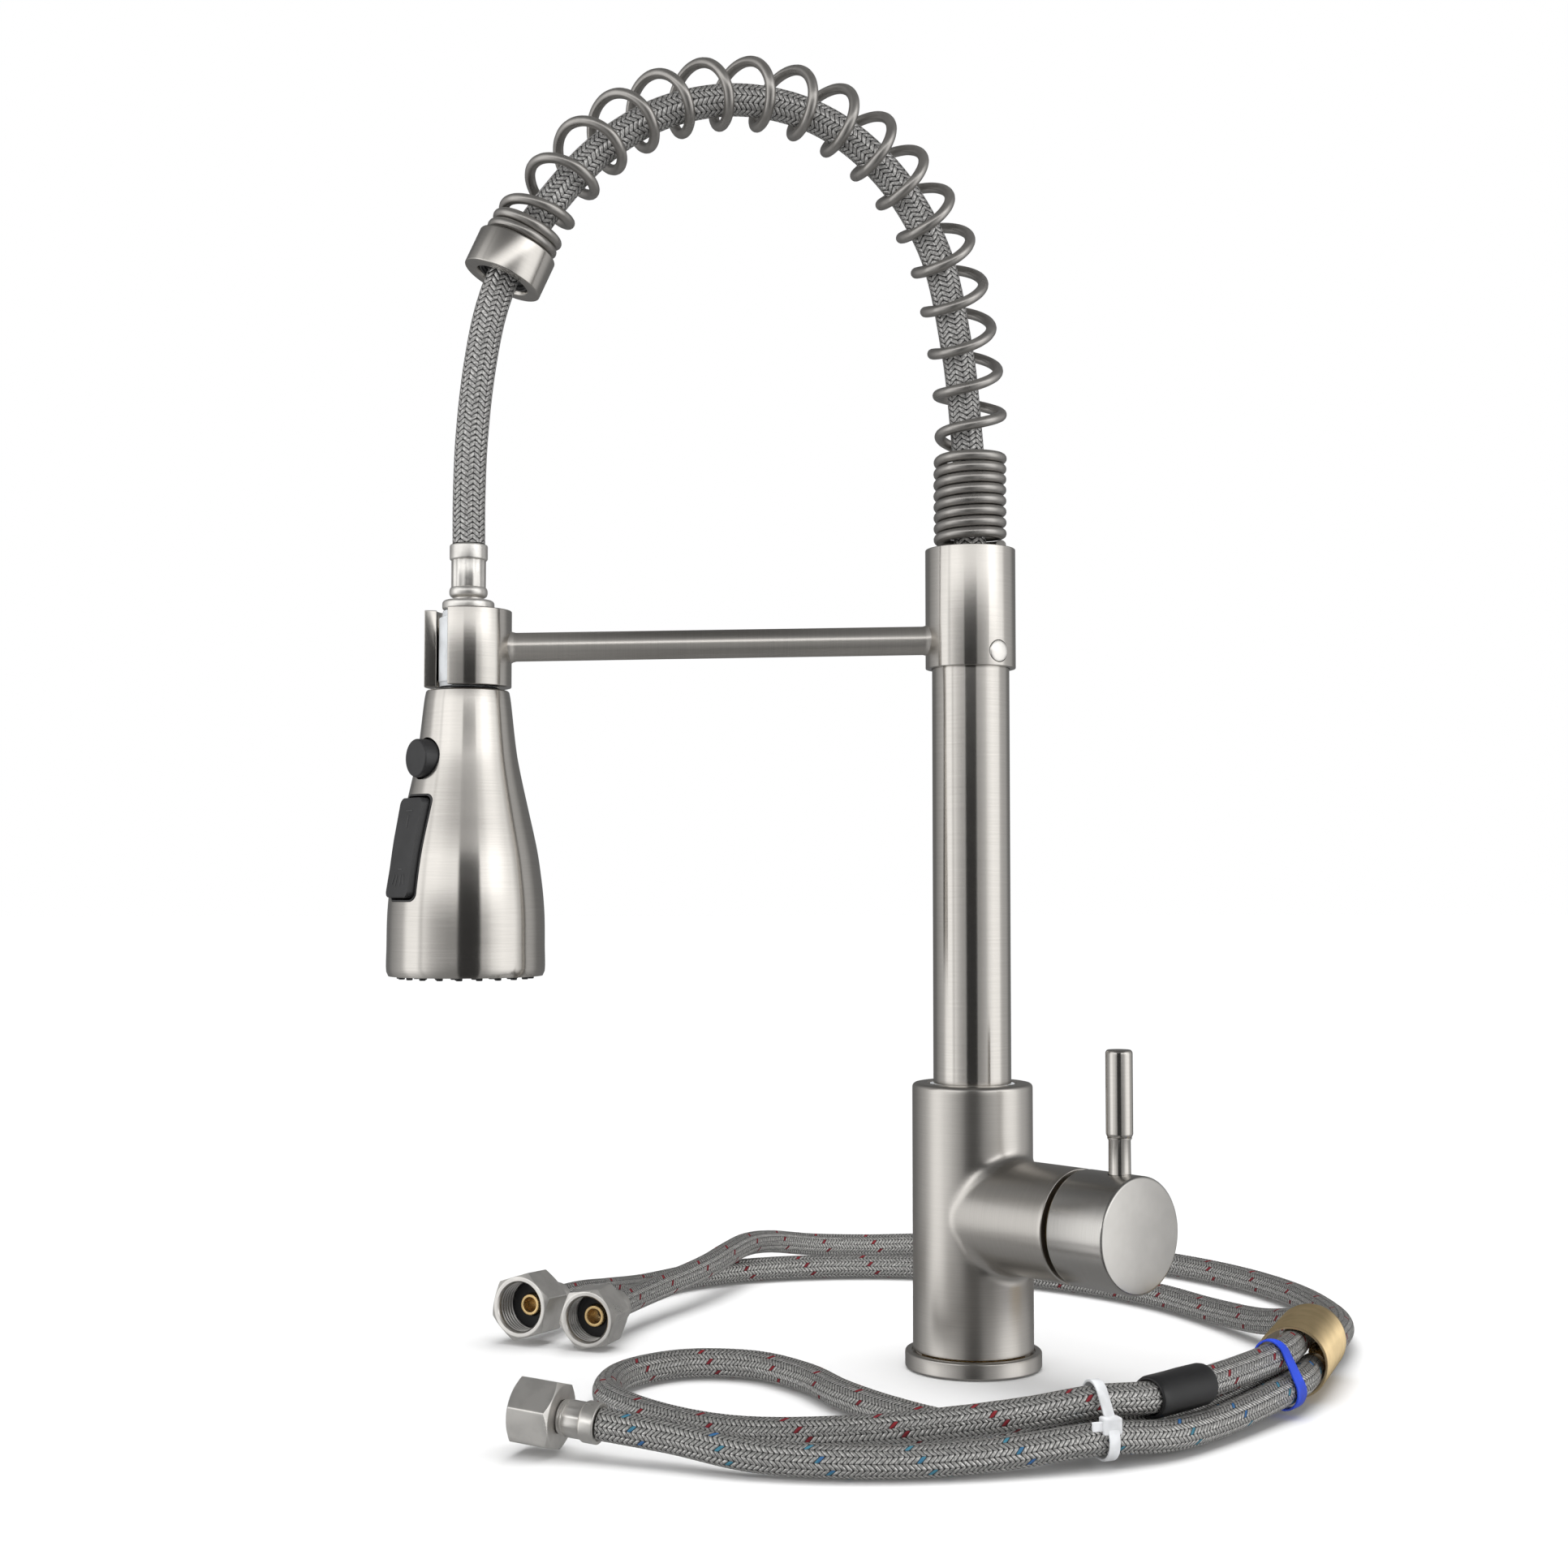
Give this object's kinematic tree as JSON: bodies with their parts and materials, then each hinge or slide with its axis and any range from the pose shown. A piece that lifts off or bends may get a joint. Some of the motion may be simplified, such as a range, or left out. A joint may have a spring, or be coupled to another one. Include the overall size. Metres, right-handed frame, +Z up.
{
  "type": "pull down kitchen faucet",
  "caption": "Pull-down kitchen faucet with a side lever mixer, swivelling column, coiled spring arch, docking arm, spray head, and braided supply hoses with a mounting shank.",
  "frame": {"origin": "centre of the base's underside, on the column's axis, at worktop level", "axes": "+Z up along the column; the spring arch and its docking arm lie in the XZ plane and reach towards -X; the side lever stands at -53 degrees from +X"},
  "size_m": [0.3856, 0.4091, 0.5046],
  "materials": {
    "steel": "fine circumferential brushing, warm satin stainless",
    "nickel": "satin nickel plating",
    "spring_steel": "drawn stainless wire, half bright",
    "brass": "turned, unplated, satin",
    "braid": "woven stainless wire sleeve over rubber hose",
    "black_plastic": "moulded, fine matte texture",
    "grey_plastic": "moulded acetal, satin",
    "rubber": "black seal rubber, matte",
    "white_nylon": "milky translucent nylon",
    "blue_rubber": "blue elastic band, matte"
  },
  "bodies": {
    "base": {"base_flange": "steel", "base_gasket": "rubber", "base_adapter": "brass", "mixer_body": "steel", "cartridge": "grey_plastic", "cartridge_nut": "brass", "column_seal": "rubber", "swivel_bush": "grey_plastic", "swivel_oring": "rubber", "brass_shank": "brass", "rubber_sleeve": "rubber", "zip_tie": "white_nylon", "hose_band": "blue_rubber", "supply_hose_a": "braid", "hose_ferrule_a": "nickel", "hose_tail_a": "brass", "nut_washer_a": "rubber", "hose_insert_a": "brass", "supply_hose_b": "braid", "hose_ferrule_b": "nickel", "hose_tail_b": "brass", "nut_washer_b": "rubber", "hose_insert_b": "brass", "supply_hose_c": "braid", "hose_ferrule_c": "nickel", "hose_tail_c": "brass", "nut_washer_c": "rubber", "hose_insert_c": "brass"},
    "nut_a": {"supply_nut_a": "nickel"},
    "nut_b": {"supply_nut_b": "nickel"},
    "nut_c": {"supply_nut_c": "nickel"},
    "spout": {"column_tube": "steel", "bracket_collar": "steel", "collar_plug": "nickel", "support_arm": "steel", "dock_ring": "steel", "spring_seat": "nickel", "arch_spring": "spring_steel", "spring_end_cap": "steel", "cap_liner": "rubber", "arch_hose": "braid", "drop_hose": "braid"},
    "hose_end": {"spray_ferrule": "nickel", "swivel_ring": "nickel"},
    "spray_head": {"dock_neck": "grey_plastic", "neck_seal": "rubber", "spray_shell": "steel", "rocker_bezel": "black_plastic", "spray_core": "black_plastic", "nozzle_plate": "black_plastic", "aerator": "grey_plastic", "rocker_pin": "nickel", "button_spring": "spring_steel"},
    "button": {"pause_button": "black_plastic"},
    "rocker": {"spray_rocker": "black_plastic"},
    "temperature": {"cartridge_spindle": "brass"},
    "handle": {"handle_cap": "steel", "lever_pin": "steel", "lever_grip": "steel", "handle_screw": "nickel"}
  },
  "joints": [
    {"name": "spout_swivel", "type": "hinge", "parent": "base", "child": "spout", "pos_m": [0, 0, 0.107], "axis": [0, 0, 1], "continuous": true},
    {"name": "handle_temperature", "type": "hinge", "parent": "base", "child": "temperature", "pos_m": [0, 0, 0.0589], "axis": [0.5969, -0.8023, 0], "range_deg": [-45, 45]},
    {"name": "handle_flow", "type": "hinge", "parent": "temperature", "child": "handle", "pos_m": [0.03462, -0.04653, 0.0389], "axis": [0.8023, 0.5969, 0], "range_deg": [0, 15]},
    {"name": "head_pull", "type": "slide", "parent": "spout", "child": "hose_end", "axis": [0, 0, -1], "range_m": [0, 0.08], "deforming": ["drop_hose"]},
    {"name": "head_turn", "type": "hinge", "parent": "hose_end", "child": "spray_head", "pos_m": [-0.193, 0, 0.288], "axis": [0, 0, 1], "continuous": true},
    {"name": "button_push", "type": "slide", "parent": "spray_head", "child": "button", "axis": [0.7955, 0.606, 0], "range_m": [0, 0.002], "stiffness_N_per_m": 1200, "springref_m": -0.001, "deforming": ["button_spring"]},
    {"name": "rocker_tilt", "type": "hinge", "parent": "spray_head", "child": "rocker", "pos_m": [-0.21018, -0.01309, 0.196], "axis": [0.606, -0.7955, 0], "range_deg": [-5, 5]},
    {"name": "nut_a_spin", "type": "hinge", "parent": "base", "child": "nut_a", "pos_m": [-0.17479, 0.04872, 0.01504], "axis": [0.4896, 0.8703, -0.0542], "continuous": true},
    {"name": "nut_b_spin", "type": "hinge", "parent": "base", "child": "nut_b", "pos_m": [-0.14778, 0.03528, 0.01234], "axis": [0.4036, 0.9149, 0.0054], "continuous": true},
    {"name": "nut_c_spin", "type": "hinge", "parent": "base", "child": "nut_c", "pos_m": [-0.16588, -0.11119, 0.01313], "axis": [0.9036, -0.4216, -0.0763], "continuous": true}
  ]
}
